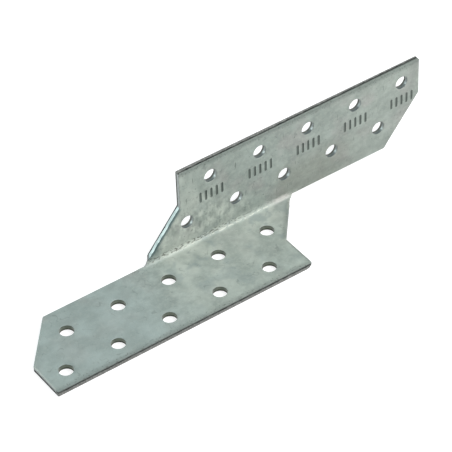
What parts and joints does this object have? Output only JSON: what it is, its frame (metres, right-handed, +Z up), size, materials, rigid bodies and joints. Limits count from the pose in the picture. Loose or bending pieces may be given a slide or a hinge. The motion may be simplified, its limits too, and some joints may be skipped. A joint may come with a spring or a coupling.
{
  "type": "rafter connector",
  "caption": "Folded galvanised sheet connector with flanges offset along a square fold and staggered nail holes, for nailing a rafter to a purlin.",
  "frame": {"origin": "middle of the length and of the lower flange's width, on the plane of its outer face", "axes": "+X along the fold towards the upper flange's far end, +Y out of the upper flange's outer face, +Z up from the lower flange"},
  "size_m": [0.17, 0.034, 0.034],
  "materials": {
    "galvanised_steel": "hot-dip galvanised, dull satin with soft spangle and bare cut edges"
  },
  "bodies": {
    "root": {"rafter_connector": "galvanised_steel"}
  },
  "joints": []
}
